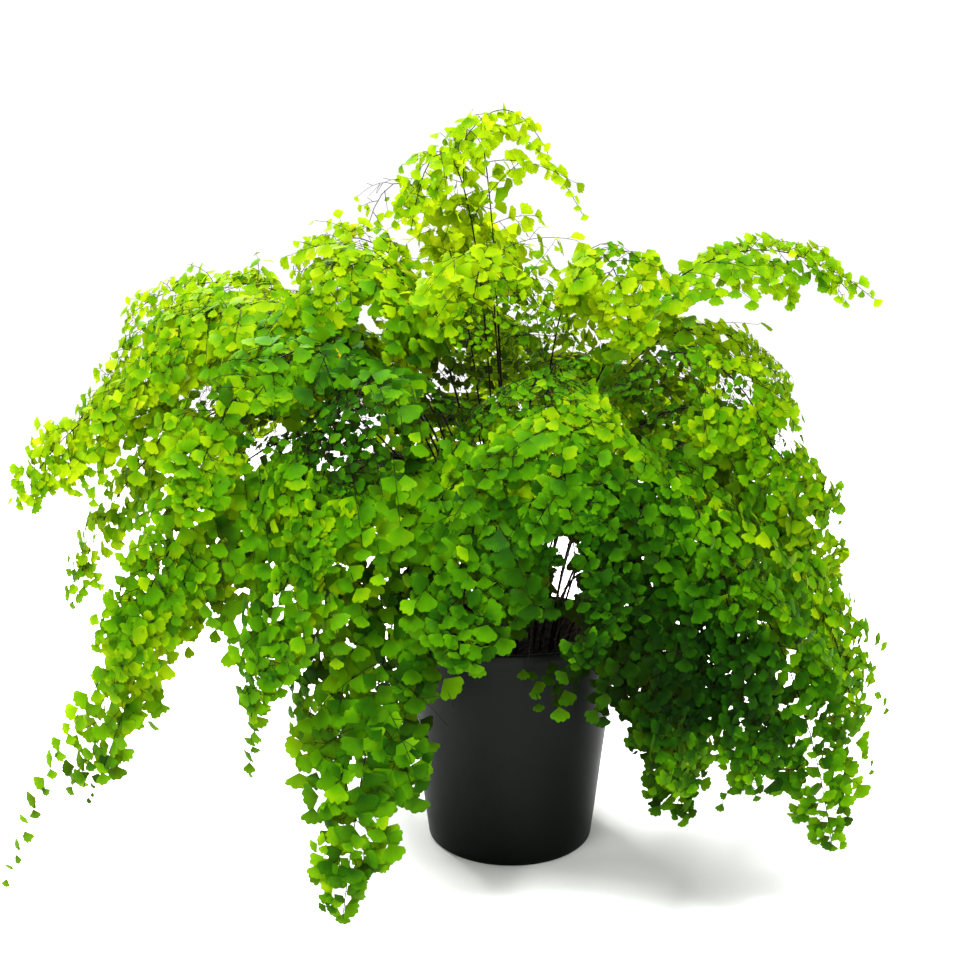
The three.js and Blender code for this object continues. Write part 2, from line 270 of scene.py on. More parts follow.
# %% [markdown]
# ## Leaf and stalk
# A leaflet is thin, so light that falls on its back shows on its front. A Translucent shader mixed
# into the usual one does that. Each leaflet carries its own tone from deep green to yellow-green,
# and that tone also holds painted light and painted shade. Fine veins fan out from its foot. Each
# leaflet is painted darker towards its foot, as shade where its neighbours overlap it, and a little
# darker along its very edge, as a painted shadow line. The mesh holds these as attributes: one
# number for each leaflet holds its tone with the painted light and shade, `faded` marks the few
# that are yellow or brown, and `across` and `along` say where on the fan a point lies.

# %% Leaf green
LEAF_PATCHES = 140.0  # noise scale: patches about 7 mm wide
LEAF_GRAIN = 700.0
VEIN_WAVES = 44.0  # makes 14 veins from side to side
LEAF_GREENS = [
    (0.0, (0.0008, 0.006, 0.0001)),
    (0.25, (0.0046, 0.029, 0.0002)),
    (0.50, (0.028, 0.102, 0.0003)),
    (0.75, (0.135, 0.215, 0.0006)),
    (1.0, (0.330, 0.345, 0.006)),
]
FADED_COLOURS = [(0.35, (0.16, 0.17, 0.003)), (0.65, (0.12, 0.08, 0.003))]
LEAF_GLOW = colour(0.33, 0.49, 0.003)


def make_fern_green():
    finish = Finish("fern_green")

    def attribute(name):
        return finish.node("ShaderNodeAttribute", {"attribute_name": name}, {}, "Fac")

    tone = attribute("tone")
    along = attribute("along")
    patches = finish.noise(LEAF_PATCHES)
    grain = finish.noise(LEAF_GRAIN, 2.0)
    waves = {0: attribute("across") * VEIN_WAVES}
    veins = finish.node("ShaderNodeMath", {"operation": "SINE"}, waves)
    veins = (veins * 0.5 + 0.5) ** 3.0 * along
    # Painted shade: the very edge of each leaflet is a little darker, as a thin shadow line.
    rim = along**12.0
    # The tone holds painted light and painted shade besides the leaflet's own colour.
    pale = tone + patches * 0.20 + grain * 0.10 - 0.34
    # Painted shade: along * 0.20 makes each leaflet darker at its foot, where neighbours overlap
    # it.
    pale = pale + along * 0.20 - rim * 0.08 + veins * 0.10
    green = finish.ramp(pale, LEAF_GREENS)
    yellow = finish.ramp(patches, FADED_COLOURS)
    sockets = {
        "Base Color": finish.mix(attribute("faded"), green, yellow),
        "Roughness": patches * 0.2 + 0.42,
        "Specular IOR Level": 0.01,
        "Normal": finish.bump(veins + patches * 0.5, 0.25, 0.0006),
    }
    face = finish.surface(sockets)
    glow = finish.node("ShaderNodeBsdfTranslucent", {}, {"Color": LEAF_GLOW})
    # Leaflets with a low tone let less light through, which deepens their painted shade.
    share = tone**2.0 * 0.6 + 0.02
    return finish.finish(finish.node("ShaderNodeMixShader", {}, {0: share, 1: face, 2: glow}))


fern_green = make_fern_green()

# %% [markdown]
# The stalks of a maidenhair fern look like black wire. A noise of short streaks lets a little brown
# through.

# %% Stalk black
STALK_STREAKS = 260.0  # noise scale: streaks about 4 mm long
STALK_BROWNS = [(0.35, (0.0012, 0.0010, 0.0009)), (0.7, (0.006, 0.003, 0.002))]


def make_fern_stalk():
    finish = Finish("fern_stalk")
    streaks = finish.noise(STALK_STREAKS)
    sockets = {
        "Base Color": finish.ramp(streaks, STALK_BROWNS),
        "Roughness": 0.5,
        "Specular IOR Level": 0.03,
        "Normal": finish.bump(streaks, 0.2, 0.0004),
    }
    return finish.finish(finish.surface(sockets))


fern_stalk = make_fern_stalk()

# %% [markdown]
# ## Making a mesh from numbers
# Every piece below is worked out as points and faces, so one small function turns millimetres into
# a Blender object, and another gives it its materials and ties it to the frame.

# %% Mesh helper
def new_object(name, points, faces):
    mesh = bpy.data.meshes.new(name)
    mesh.from_pydata((np.asarray(points) * MM).tolist(), [], faces)
    made = bpy.data.objects.new(name, mesh)
    scene.collection.objects.link(made)
    return made


def make_piece(name, points, faces, materials, slot, replaced, smooth=True):
    """A piece that takes the place of a solid of the plain model."""
    piece = new_object(name, points, faces)
    for material in materials:
        piece.data.materials.append(material)
    piece.data.polygons.foreach_set("use_smooth", [smooth] * len(piece.data.polygons))
    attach(piece, "root")
    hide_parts(replaced)
    return piece


print("a leaflet of 12 mm is", 12 * MM, "metres")

# %% [markdown]
# ## The pot
# A pot is turned, like clay on a wheel: one profile, spun round. The plain model has 40 flat sides,
# which would show along the rim, so the fine one has 144. Its profile adds what a mould gives: a
# rounded rim, a soft step where the lip meets the wall, and a foot that rises a little in the
# middle to stand firmly.

# %% Pot profile
RIM_RADIUS = 85.0
BASE_RADIUS = 64.5
WALL = 2.3
FLOOR_TOP = 3.0
FOOT_RISE = 1.0  # how far the foot's middle stands off the table
FOOT_ROUNDING = 2.0
LIP_STEP = 0.25  # how far the lip stands out from the wall
LIP_TOP = 165.0  # where the rim's rounding begins
RIM_HALF = 1.7  # half the rim's thickness


def wall_radius(height):
    return BASE_RADIUS + (RIM_RADIUS - BASE_RADIUS) * height / POT_HEIGHT


def rounded(centre, radius, start, end, steps=7):
    """Points of an arc in the profile, from one angle to another."""
    angles = np.radians(np.linspace(start, end, steps))
    return [(centre[0] + radius * math.cos(a), centre[1] + radius * math.sin(a)) for a in angles]


pot_profile = [
    (0.0, FOOT_RISE),
    (BASE_RADIUS - 9.0, FOOT_RISE),
    (BASE_RADIUS - 7.5, 0.0),
    *rounded((BASE_RADIUS - 1.9, FOOT_ROUNDING), FOOT_ROUNDING, -90, -7),
    *[(wall_radius(z), z) for z in (20.0, 60.0, 100.0, 140.0, 158.0, 162.5)],
    *[(wall_radius(z) + LIP_STEP, z) for z in (163.4, LIP_TOP)],
    *rounded((RIM_RADIUS - RIM_HALF, POT_HEIGHT - RIM_HALF), RIM_HALF, 0, 180),
    (RIM_RADIUS - 2 * RIM_HALF, LIP_TOP),
    *[(wall_radius(z) - WALL, z) for z in (163.0, 60.0)],
    (wall_radius(FLOOR_TOP) - 3.2, FLOOR_TOP + 0.6),
    (wall_radius(FLOOR_TOP) - 4.2, FLOOR_TOP),
    (0.0, FLOOR_TOP),
]
print("points in the pot's profile:", len(pot_profile))

# %% [markdown]
# Spinning the profile gives rings of points. Each ring joins the next with four-sided faces, and
# the two ends that lie on the axis close with triangles.

# %% Spin a profile
def turn(profile, sides):
    """Spins a profile that starts and ends on the axis into a closed body."""
    angles = np.arange(sides) / sides * 2 * np.pi
    ring = np.stack([np.cos(angles), np.sin(angles)], axis=1)
    points = [(0.0, 0.0, profile[0][1])]
    for radius, height in profile[1:-1]:
        points.extend((radius * x, radius * y, height) for x, y in ring)
    points.append((0.0, 0.0, profile[-1][1]))
    faces = []
    last = len(profile) - 3
    for i in range(sides):
        j = (i + 1) % sides
        faces.append((0, 1 + j, 1 + i))
        for row in range(last):
            low, high = 1 + row * sides, 1 + (row + 1) * sides
            faces.append((low + i, low + j, high + j, high + i))
        faces.append((1 + last * sides + i, 1 + last * sides + j, len(points) - 1))
    return points, faces


POT_SIDES = 144
pot = make_piece("pot_shell", *turn(pot_profile, POT_SIDES), [pot_plastic], "pot_plastic", "pot")
print("pot faces before drilling:", len(pot.data.polygons))

# %% [markdown]
# Six round holes in the floor let water out. A cutter made of six pins goes through the floor, a
# Boolean modifier subtracts it, and the result is kept as the pot's mesh, so no modifier and no
# cutter is left.

# %% Drainage holes
DRAIN_HOLES = 6
DRAIN_CIRCLE = 38.0
DRAIN_RADIUS = 5.0
PIN_REACH = 12.0  # how far each pin goes above and below the table
PIN_SIDES = 24


def drill(piece, places):
    """Cuts a round hole at each place, and tidies the cutter away."""
    pin = [(0, -PIN_REACH), (DRAIN_RADIUS, -PIN_REACH), (DRAIN_RADIUS, PIN_REACH), (0, PIN_REACH)]
    points, faces = [], []
    for x, y in places:
        first = len(points)
        pin_points, pin_faces = turn(pin, PIN_SIDES)
        points.extend((a + x, b + y, c) for a, b, c in pin_points)
        faces.extend(tuple(first + k for k in face) for face in pin_faces)
    cutter = new_object("cutter", points, faces)
    cut = piece.modifiers.new("holes", "BOOLEAN")
    cut.operation = "DIFFERENCE"
    cut.solver = "EXACT"
    cut.object = cutter
    depsgraph = bpy.context.evaluated_depsgraph_get()
    drilled = bpy.data.meshes.new_from_object(piece.evaluated_get(depsgraph))
    piece.modifiers.clear()
    piece.data = drilled
    bpy.data.objects.remove(cutter)


drain_angles = [math.radians(360 / DRAIN_HOLES * k) for k in range(DRAIN_HOLES)]
drill(pot, [(DRAIN_CIRCLE * math.cos(a), DRAIN_CIRCLE * math.sin(a)) for a in drain_angles])
pot.data.set_sharp_from_angle(angle=math.radians(35))
print("pot faces:", len(pot.data.polygons))

# %% [markdown]
# ## The soil
# The soil fills the pot to a finger's width below the rim and rises slightly in the middle. Its top
# is a fine grid of rings pushed up and down by a few waves.

# %% Soil body
SOIL_TOP = 156.0
SOIL_DIP = 3.6  # how far the edge of the top lies below SOIL_TOP
SOIL_FOOT = 3.3
SOIL_GAP = 2.5  # the pot's wall, and the play beside it
SOIL_SIDES = 96


def soil_height(x, y):
    waves = np.sin(0.21 * x + 1.0) * np.cos(0.17 * y) + 0.6 * np.sin(0.53 * x - 0.41 * y)
    crown = 3.0 * (1 - np.clip((np.hypot(x, y) - 40) / 40, 0, 1))
    return SOIL_TOP - SOIL_DIP + crown + 0.7 * waves


def soil_profile():
    edge = wall_radius(SOIL_TOP) - SOIL_GAP
    foot = [(0.0, SOIL_FOOT), (wall_radius(SOIL_FOOT) - SOIL_GAP - 2.5, SOIL_FOOT)]
    wall = [(wall_radius(z) - SOIL_GAP, z) for z in (8.0, 60.0, 110.0, 151.0)]
    top = [(radius, SOIL_TOP) for radius in np.linspace(edge - 1.0, 2.0, 28)]
    return [*foot, *wall, *top, (0.0, SOIL_TOP)]


soil_points, soil_faces = turn(soil_profile(), SOIL_SIDES)
soil_points = [(x, y, soil_height(x, y) if z > SOIL_TOP - 1 else z) for x, y, z in soil_points]
print("points in the soil body:", len(soil_points))

# %% [markdown]
# Crumbs of peat and bark lie on the soil, each a small lump with its own size and turn. They are
# drawn at random from a fixed seed, so every run gives the same ones.

# %% Crumbs
CRUMBS = 650
CRUMB_SPREAD = 80  # radius of the circle that they lie in
CRUMB_SIZES, CRUMB_SHARES = [0.8, 1.1, 1.5, 2.2], [0.4, 0.35, 0.2, 0.05]
chance = np.random.default_rng(7)


def add_lump(points, faces, place, size):
    """A rough crumb: a ring of six points between two poles, each moved at random."""
    first = len(points)
    spin = chance.uniform(0, 2 * np.pi)
    turns = [spin + k * math.pi / 3 for k in range(6)]
    ring = [(math.cos(a), math.sin(a), 0) for a in turns]
    shape = np.array([(0, 0, -0.5), *ring, (0, 0, 0.6)])
    jitter = chance.uniform(0.7, 1.3, (8, 3))
    points.extend((shape * jitter * size + place).tolist())
    for k in range(6):
        a, b = first + 1 + k, first + 1 + (k + 1) % 6
        faces.append((first, b, a))
        faces.append((first + 7, a, b))


for _ in range(CRUMBS):
    radius = CRUMB_SPREAD * math.sqrt(chance.uniform(0, 1))
    angle = chance.uniform(0, 2 * np.pi)
    x, y = radius * math.cos(angle), radius * math.sin(angle)
    size = chance.choice(CRUMB_SIZES, p=CRUMB_SHARES)
    add_lump(soil_points, soil_faces, (x, y, soil_height(x, y) + 0.2 * size), size)
soil = make_piece(
    "soil_surface", soil_points, soil_faces, [potting_soil], "potting_soil", "soil", smooth=False
)
print("soil faces:", len(soil.data.polygons))

# %% [markdown]
# ## The fronds: where they stand and how they arch
# Each frond of the plain model follows an arch: it climbs steeply from the soil, bends over at its
# crest and hangs to its tip. This table says the same as the plain model's: azimuth in degrees (0
# is right, 90 away, 270 towards the viewer), reach of the tip from the pot's axis, height of the
# crest, height of the tip, the share that is bare stalk, and half the blade's width. The order
# counts, because each row's number seeds its sway.

# %% Table of fronds
FRONDS = {
    "crown_front": (244, 80, 538, 492, 0.6, 52),
    "crown_left": (222, 92, 516, 462, 0.62, 46),
    "crown_far_left": (158, 118, 504, 474, 0.7, 40),
    "crown_right": (318, 108, 450, 384, 0.56, 54),
    "shoulder_left": (174, 160, 462, 432, 0.6, 46),
    "shoulder_back": (104, 130, 478, 416, 0.55, 56),
    "shoulder_front": (258, 136, 446, 385, 0.52, 60),
    "shoulder_left_front": (206, 160, 442, 386, 0.52, 62),
    "right_high": (358, 248, 452, 420, 0.5, 50),
    "right_upper": (14, 230, 394, 328, 0.48, 56),
    "right_middle": (347, 236, 340, 222, 0.45, 60),
    "right_outer": (341, 258, 288, 116, 0.45, 54),
    "right_inner": (333, 206, 380, 288, 0.48, 58),
    "right_low": (321, 262, 270, 68, 0.42, 48),
    "right_front": (309, 236, 320, 118, 0.45, 58),
    "right_front_low": (309, 178, 228, 72, 0.42, 42),
    "right_pot_side": (334, 138, 196, 58, 0.46, 34),
    "front_dome": (279, 222, 368, 212, 0.42, 66),
    "front_right": (296, 232, 292, 128, 0.43, 60),
    "front_left": (262, 228, 320, 210, 0.42, 60),
    "front_rim": (274, 160, 238, 188, 0.42, 40),
    "front_hanging": (246, 242, 284, 52, 0.42, 46),
    "front_left_upper": (236, 226, 368, 258, 0.45, 64),
    "front_left_outer": (233, 258, 314, 172, 0.44, 50),
    "front_pot_side": (229, 144, 204, 84, 0.46, 34),
    "left_front_upper": (218, 258, 386, 286, 0.46, 60),
    "left_front": (213, 296, 328, 176, 0.44, 58),
    "left_front_low": (224, 196, 234, 118, 0.42, 40),
    "left_sweep": (207, 324, 268, 70, 0.42, 36),
    "left_low": (195, 292, 284, 108, 0.43, 42),
    "left_outer": (184, 330, 342, 192, 0.44, 56),
    "left_reach": (187, 358, 364, 270, 0.46, 58),
    "left_upper": (194, 276, 412, 342, 0.48, 58),
    "left_back_reach": (173, 344, 384, 308, 0.48, 54),
    "left_back_top": (167, 318, 430, 400, 0.5, 52),
    "back_left": (148, 276, 394, 296, 0.46, 60),
    "back_left_low": (137, 258, 290, 118, 0.43, 42),
    "back_upper": (94, 210, 410, 318, 0.47, 58),
    "back_middle": (110, 232, 334, 150, 0.42, 56),
    "back_middle_right": (70, 238, 372, 190, 0.44, 58),
    "back_right": (44, 252, 360, 222, 0.45, 60),
    "right_back_low": (24, 268, 302, 118, 0.43, 60),
    "left_top": (177, 314, 414, 350, 0.5, 42),
}
print("fronds:", len(FRONDS))

# %% [markdown]
# ## The arch and the blade's surface
# Four control points make the arch: the root, two high ones that set the crest, and the tip. A
# curve of this kind never reaches its control points' height, so the height of the two high ones is
# found in a few rounds.

# %% Draws and heights
UP = np.array([0.0, 0.0, 1.0])
ROUNDS = 12


def draw(index, salt):
    """A repeatable draw between -1 and 1, the same as the plain model's."""
    value = math.sin(12.9898 * index + 78.233 * salt) * 43758.5453
    return 2 * (value - math.floor(value)) - 1


def control_height(start, crest, tip):
    """The height of both middle control points that makes the arch's top lie at the crest."""
    u = np.arange(0, 1.001, 0.02)
    v = 1 - u
    height = crest
    for _ in range(ROUNDS):
        height += crest - np.max(v**3 * start + 3 * u * v * height + u**3 * tip)
    return height


def unit(vectors):
    return vectors / np.linalg.norm(vectors, axis=-1, keepdims=True)


print("control height for a crest of 400 mm: %.0f mm" % control_height(SOIL_TOP, 400, 300))

# %% [markdown]
# The blade is a surface along the arch. A place on it has two numbers: s millimetres along the arch
# and t millimetres to its side. The sides hang a little, and blades on the left and right turn as
# they go, to show their face to the viewer.

# %% The blade
ROOT_INNER, ROOT_OUTER = 9.0, 47.0  # upright fronds root near the middle, low ones further out
UPRIGHT_CREST, CREST_RANGE = 540, 330
SWAY = 0.1
CLIMB_SHARE, BEND_SHARE, TIP_SWAY = 0.1, 0.8, 0.4  # where the high control points and the tip lie
ARCH_STEPS = 121
SIDE_DROOP = 0.007
SIDE_TWIST, LOOSE_TWIST = 58.0, 48.0
VIEWER_PULL = 0.45  # how far leaflets on the left and right turn to the viewer


class Blade:
    """The surface that a frond follows."""

    def __init__(self, index, azimuth, reach, crest, tip, bare, half_width):
        angle = math.radians(azimuth)
        self.out = np.array([math.cos(angle), math.sin(angle), 0.0])
        self.level = np.cross(UP, self.out)
        lower = min(max((UPRIGHT_CREST - crest) / CREST_RANGE, 0), 1)
        root_radius = ROOT_INNER + (ROOT_OUTER - ROOT_INNER) * lower
        run = reach - root_radius
        lean = self.level * SWAY * run * draw(index, 1)
        root = self.out * root_radius + UP * SOIL_TOP
        high = UP * (control_height(SOIL_TOP, crest, tip) - SOIL_TOP)
        self.controls = np.array([
            root,
            root + self.out * CLIMB_SHARE * run + high,
            root + self.out * BEND_SHARE * run + lean + high,
            root + self.out * run - TIP_SWAY * lean + UP * (tip - SOIL_TOP),
        ])
        self.steps = np.linspace(0, 1, ARCH_STEPS)
        chords = np.linalg.norm(np.diff(self.arch(self.steps), axis=0), axis=1)
        self.lengths = np.concatenate([[0], np.cumsum(chords)])
        self.length = self.lengths[-1]
        self.start = bare * self.length
        self.half_width = half_width
        facing = 1 if self.out[1] < 0.25 else -1
        self.look = np.array([0.0, -VIEWER_PULL * facing * abs(self.out[0]), 0.0])
        loose = LOOSE_TWIST * self.out[1] * draw(index, 2)
        self.twist = math.radians(SIDE_TWIST * self.out[0] * facing + loose)

    def arch(self, u):
        u = np.asarray(u)[..., None]
        v = 1 - u
        a, b, c, d = self.controls
        return v**3 * a + 3 * v * v * u * b + 3 * v * u * u * c + u**3 * d

    def direction(self, u):
        u = np.asarray(u)[..., None]
        v = 1 - u
        a, b, c, d = self.controls
        return unit(v * v * (b - a) + 2 * v * u * (c - b) + u * u * (d - c))

    def at(self, s, t):
        """The place on the blade, and its directions there: along, aside and out of its face."""
        s, t = np.broadcast_arrays(np.asarray(s, float), np.asarray(t, float))
        u = np.interp(s, self.lengths, self.steps)
        along = self.direction(u)
        share = np.clip((s - self.start) / (self.length - self.start), 0, 1)
        turned = (self.twist * share)[..., None]
        level = np.broadcast_to(self.level, along.shape)
        side = level * np.cos(turned) + np.cross(along, level) * np.sin(turned)
        side = side + along * np.sum(along * level, -1, keepdims=True) * (1 - np.cos(turned))
        over = (s - np.clip(s, 0, self.length))[..., None]
        aside = t[..., None]
        place = self.arch(u) + along * over + side * aside - UP * SIDE_DROOP * aside * aside
        normal = unit(np.cross(along, side - UP * 2 * SIDE_DROOP * aside))
        return place, along, side, normal


blades = {name: Blade(index, *row) for index, (name, row) in enumerate(FRONDS.items())}
print("longest arch: %.0f mm" % max(blade.length for blade in blades.values()))

# %% [markdown]
# ## One leaflet
# A leaflet is a small fan. Two straight sides spread from its foot, and the outer edge is cut into
# shallow lobes. Thirteen rays and two rings of points are enough for that shape: the inner ring
# lets it cup, and the outer ring carries the lobes.

# %% Leaflet template
LOBES = np.array([0.80, 0.95, 0.98, 0.91, 1.00, 1.03, 0.94, 1.03, 1.00, 0.91, 0.98, 0.95, 0.80])
RAYS = len(LOBES)
INNER_RING = 0.55  # radius of the inner ring, as a share of the outer one
ray_share = np.linspace(-1, 1, RAYS)


def leaflet_faces():
    inner = [1 + k for k in range(RAYS)]
    outer = [1 + RAYS + k for k in range(RAYS)]
    faces = [(0, inner[k + 1], inner[k]) for k in range(RAYS - 1)]
    faces += [(inner[k], inner[k + 1], outer[k + 1], outer[k]) for k in range(RAYS - 1)]
    return faces


LEAF_FACES = leaflet_faces()
LEAF_ACROSS = np.concatenate([[0], ray_share, ray_share])
LEAF_ALONG = np.concatenate([[0], np.full(RAYS, INNER_RING), np.ones(RAYS)])
print("points in a leaflet:", len(LEAF_ACROSS), "faces:", len(LEAF_FACES))

# %% [markdown]
# All leaflets of a frond are worked out at once as arrays, which keeps it quick. Each opens a
# little more or less than the rest, and has a cup, a fold and a wave of its own.

# %% Leaflets as arrays
SPREAD = 54.0  # degrees that the fan opens to each side


def leaflet_points(places, heads, faces_out, sizes, rng):
    """Points of leaflets, from their feet, the ways that they point and face, and their sizes."""
    count = len(places)
    heads = unit(heads)
    normals = unit(faces_out - heads * np.sum(faces_out * heads, -1, keepdims=True))
    sides = np.cross(normals, heads)
    spread = np.radians(SPREAD * rng.uniform(0.82, 1.12, (count, 1)))
    angles = ray_share * spread
    edge = LOBES * rng.uniform(0.96, 1.03, (count, RAYS))
    inner = INNER_RING * np.ones((count, RAYS))
    radii = np.concatenate([np.zeros((count, 1)), inner, edge], axis=1)
    angles = np.concatenate([np.zeros((count, 1)), angles, angles], axis=1)
    x, y = radii * np.cos(angles), radii * np.sin(angles)
    cup, fold = rng.normal(0.10, 0.08, (count, 1)), rng.normal(0.22, 0.14, (count, 1))
    wave = rng.uniform(-0.05, 0.05, (count, 1)) * np.sin(3 * angles / spread) * radii
    z = -cup * x * x - fold * y * y + wave
    local = x[..., None] * heads[:, None] + y[..., None] * sides[:, None]
    local = local + z[..., None] * normals[:, None]
    return places[:, None] + sizes[:, None, None] * local


sample = np.zeros((1, 3)), UP[None], np.eye(3)[:1], np.array([12.0])
sample = leaflet_points(*sample, np.random.default_rng(1))
print("a leaflet 12 mm long is %.0f mm wide" % np.ptp(sample[0, :, 1]))

# %% [markdown]
# ## Habits
# Fronds differ. Those at the top are open, with small leaflets, and those that hang in front are
# dense, with large leaflets. This table says how much further apart a frond's side branches stand
# than usual, and how long its leaflets are.

# %% Table of habits
USUAL = (1.0, 13.5)
HABITS = {
    "crown_front": (2.2, 10.8),
    "crown_left": (2.2, 10.5),
    "crown_far_left": (2.4, 10.0),
    "crown_right": (1.2, 12.0),
    "shoulder_left": (1.5, 11.5),
    "shoulder_back": (1.3, 12.0),
    "shoulder_front": (1.3, 12.5),
    "shoulder_left_front": (1.2, 12.5),
    "right_high": (1.5, 11.5),
    "right_upper": (1.2, 11.5),
    "right_middle": (1.1, 11.5),
    "right_outer": (1.1, 11.5),
    "right_inner": (1.0, 11.0),
    "right_low": (1.2, 12.0),
    "right_front": (1.05, 11.5),
    "right_front_low": (1.1, 12.0),
    "right_pot_side": (1.1, 11.5),
    "right_back_low": (1.1, 12.0),
    "front_dome": (0.95, 10.5),
    "front_right": (1.0, 11.5),
    "front_left_upper": (1.0, 12.5),
    "back_middle": (1.0, 12.0),
    "back_middle_right": (1.0, 12.0),
    "back_right": (1.0, 12.0),
    "back_upper": (1.0, 12.0),
    "left_back_top": (1.4, 11.5),
    "left_top": (1.4, 11.5),
    "left_back_reach": (1.3, 12.0),
    "back_left": (1.2, 12.0),
    "left_reach": (1.2, 13.5),
    "left_outer": (1.3, 14.0),
    "left_low": (1.4, 13.5),
    "left_sweep": (1.5, 13.5),
    "left_front_low": (1.3, 14.0),
    "front_hanging": (1.1, 15.0),
    "front_pot_side": (1.5, 13.0),
}
print("fronds with a habit of their own:", len(HABITS))

# %% [markdown]
# ## Gaps to look through
# The real plant has gaps where one sees through to the stalks, the rim or the white behind. Each
# row here is a line of sight: from, to, how far it is clear to each side, and the share of leaflets
# that stands there all the same. Those are small and in the shade.

# %% Thin lines of sight
THIN = [
    ((26, -240, 265), (47, 60, 189), 13, 0.0),
    ((24, -240, 288), (44, 60, 224), 9, 0.0),
    ((27, -240, 240), (46, 20, 163), 12, 0.0),
    ((-30, -200, 146), (-33, -70, 90), 24, 0.0),
    ((-92, -230, 343), (-129, 60, 308), 34, 0.7),
    ((-35, -230, 363), (-44, 60, 338), 26, 0.7),
    ((2, -150, 388), (8, 60, 381), 44, 0.75),
    ((85, -170, 365), (121, 60, 349), 32, 0.6),
    ((136, -260, 345), (240, 120, 299), 12, 0.12),
    ((168, -260, 302), (293, 120, 226), 13, 0.2),
    ((109, -260, 372), (195, 120, 345), 15, 0.4),
    ((-174, -260, 433), (-281, 120, 448), 12, 0.3),
    ((-154, -260, 439), (-247, 120, 458), 12, 0.3),
    ((-136, -260, 443), (-218, 120, 464), 12, 0.3),
    ((-70, -260, 471), (-107, 120, 511), 15, 0.3),
    ((-133, -260, 348), (-213, 120, 304), 20, 0.5),
    ((-162, -260, 367), (-261, 120, 336), 13, 0.5),
    ((-76, -260, 445), (-117, 120, 468), 11, 0.3),
    ((45, -260, 437), (87, 120, 454), 16, 0.6),
    ((55, -260, 191), (104, 120, 40), 11, 0.0),
    ((38, -260, 182), (75, 120, 25), 12, 0.0),
    ((25, -260, 191), (52, 120, 40), 9, 0.0),
    ((-38, -260, 196), (-54, 120, 50), 17, 0.0),
    ((10, -260, 236), (27, 120, 117), 16, 0.0),
    ((61, -260, 169), (114, 120, 4), 15, 0.5),
    ((-243, -260, 133), (-397, 120, -57), 17, 0.0),
    ((-233, -260, 149), (-380, 120, -30), 12, 0.5),
]


def standing_share(place):
    """The share of leaflets that stands at a place: 1 outside the thin lines of sight."""
    share = 1.0
    for start, end, clear, stands in THIN:
        start, line = np.array(start), np.array(end) - np.array(start)
        along = np.clip(np.dot(place - start, line) / np.dot(line, line), 0, 1)
        if np.linalg.norm(place - start - along * line) < clear:
            share = min(share, stands)
    return share


print("share that stands over the pot's rim:", standing_share(np.array([10.0, -80.0, 170.0])))

# %% [markdown]
# ## Long sprays
# Some thin sprays leave their frond and hang or reach out on their own, which gives the plant its
# ragged outline. Each row says at what share of the frond a spray starts, where its tip is, and how
# far it rises between the two.

# %% Table of sprays
SPRAYS = {
    "crown_front": [(0.86, (50, -20, 476), 34), (0.93, (25, -20, 518), 46)],
    "crown_right": [(0.62, (23, -50, 412), 6), (0.68, (38, -60, 396), 8), (0.5, (12, -60, 430), 8)],
    "shoulder_left": [
        (0.6, (-155, 0, 458), 22),
        (0.45, (-108, 10, 394), 10),
        (0.5, (-98, -10, 404), 8),
    ],
    "shoulder_back": [
        (0.62, (63, 90, 388), 16),
        (0.7, (48, 110, 374), 12),
        (0.55, (80, 70, 372), 18),
    ],
    "right_high": [(0.92, (264, -9, 417), 5), (0.48, (98, -14, 452), 12)],
    "right_upper": [(0.72, (208, -20, 326), 14)],
    "right_middle": [(0.6, (243, -20, 247), 32)],
    "right_outer": [
        (0.62, (272, -60, 124), 36),
        (0.74, (264, -60, 76), 22),
        (0.5, (254, -60, 176), 34),
    ],
    "right_front_low": [
        (0.45, (40, -104, 150), 14),
        (0.50, (60, -100, 141), 12),
        (0.56, (78, -92, 130), 10),
    ],
    "front_rim": [(0.4, (17, -102, 142), 15), (0.36, (30, -100, 146), 18)],
    "left_sweep": [(0.68, (-332, -154, 42), 58), (0.7, (-270, -150, 108), 0)],
    "left_reach": [
        (0.80, (-293, -40, 282), 8),
        (0.86, (-318, -30, 280), 8),
        (0.90, (-336, -40, 289), 10),
        (0.74, (-277, -60, 300), 10),
        (0.78, (-300, -60, 292), 12),
    ],
    "front_left_outer": [(0.84, (-172, -150, 116), 10)],
    "right_low": [(0.78, (136, -150, 93), 16)],
    "left_back_reach": [(0.86, (-330, -20, 300), 8)],
    "back_left": [
        (0.52, (-115, 40, 315), 6),
        (0.46, (-104, 40, 327), 8),
        (0.58, (-131, 40, 299), 4),
        (0.64, (-150, 60, 287), 2),
    ],
}
print("long sprays:", sum(len(rows) for rows in SPRAYS.values()))

# %% [markdown]
# ## Growing: leaflets
# Leaflets stand left and right in turn, each on a hair-thin stalk of its own. Gravity pulls each
# leaflet's edge down, so the rows hang like shingles and face outward. This class only collects
# them, and the next two build on it.

# %% A leaflet on its stalk
HAIR_RADIUS = 0.17
HAIR_LENGTH = 0.16  # as a share of the leaflet
SHADE_SIZE, SHADE_TINT = 0.55, -0.2  # what a leaflet in a thin line of sight is like


